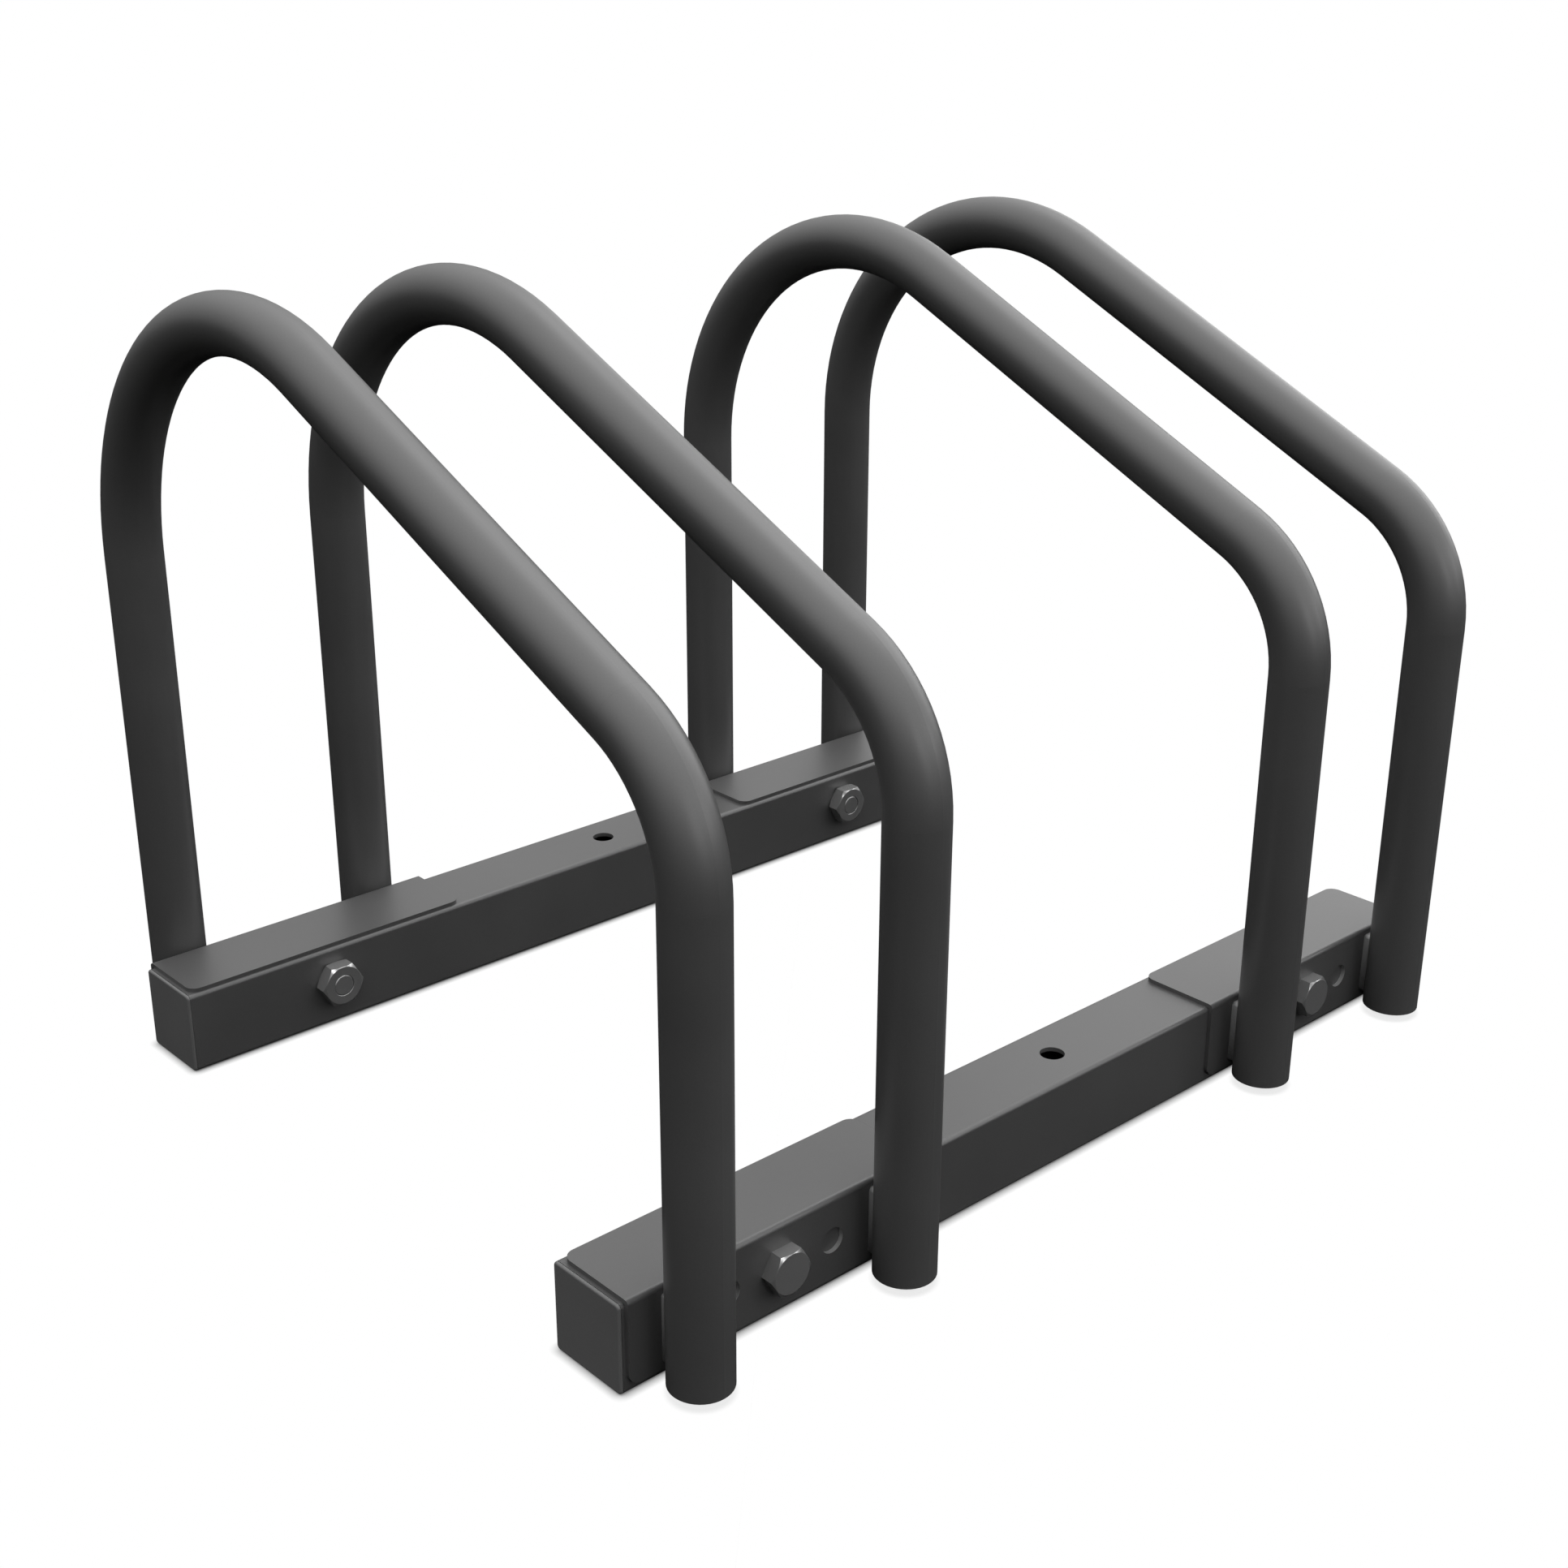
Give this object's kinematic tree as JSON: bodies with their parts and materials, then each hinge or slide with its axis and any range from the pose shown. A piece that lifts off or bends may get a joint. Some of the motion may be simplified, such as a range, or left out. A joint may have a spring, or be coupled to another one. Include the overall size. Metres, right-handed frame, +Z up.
{
  "type": "bike rack",
  "caption": "Low floor rack for bicycles: bent round-tube hoops in pairs stand on two square crossbars, and each pair holds a wheel upright.",
  "frame": {"origin": "middle of the footprint, on the floor", "axes": "+X along the crossbars, with the wheel slots side by side; -Y towards the hoops' low front end, +Y towards their high rear end; +Z up"},
  "size_m": [0.3788, 0.32, 0.2795],
  "materials": {
    "powder_coat": "satin anthracite powder coat on steel, with a fine texture",
    "weld": "satin anthracite powder coat over weld metal",
    "fastener": "dark steel, smooth and a little glossy",
    "plastic": "matt dark grey plastic"
  },
  "bodies": {
    "root": {"front_crossbar": "powder_coat", "rear_crossbar": "powder_coat", "front_left_end_cap": "plastic", "front_right_end_cap": "plastic", "rear_left_end_cap": "plastic", "rear_right_end_cap": "plastic", "front_left_bracket": "powder_coat", "front_right_bracket": "powder_coat", "rear_left_bracket": "powder_coat", "rear_right_bracket": "powder_coat", "hoop_1": "powder_coat", "hoop_2": "powder_coat", "hoop_3": "powder_coat", "hoop_4": "powder_coat", "hoop_1_front_weld": "weld", "hoop_1_rear_weld": "weld", "hoop_2_front_weld": "weld", "hoop_2_rear_weld": "weld", "hoop_3_front_weld": "weld", "hoop_3_rear_weld": "weld", "hoop_4_front_weld": "weld", "hoop_4_rear_weld": "weld", "hoop_1_front_plug": "plastic", "hoop_1_rear_plug": "plastic", "hoop_2_front_plug": "plastic", "hoop_2_rear_plug": "plastic", "hoop_3_front_plug": "plastic", "hoop_3_rear_plug": "plastic", "hoop_4_front_plug": "plastic", "hoop_4_rear_plug": "plastic", "front_left_bolt": "fastener", "front_right_bolt": "fastener", "rear_left_bolt": "fastener", "rear_right_bolt": "fastener", "front_left_nut": "fastener", "front_right_nut": "fastener", "rear_left_nut": "fastener", "rear_right_nut": "fastener"}
  },
  "joints": []
}
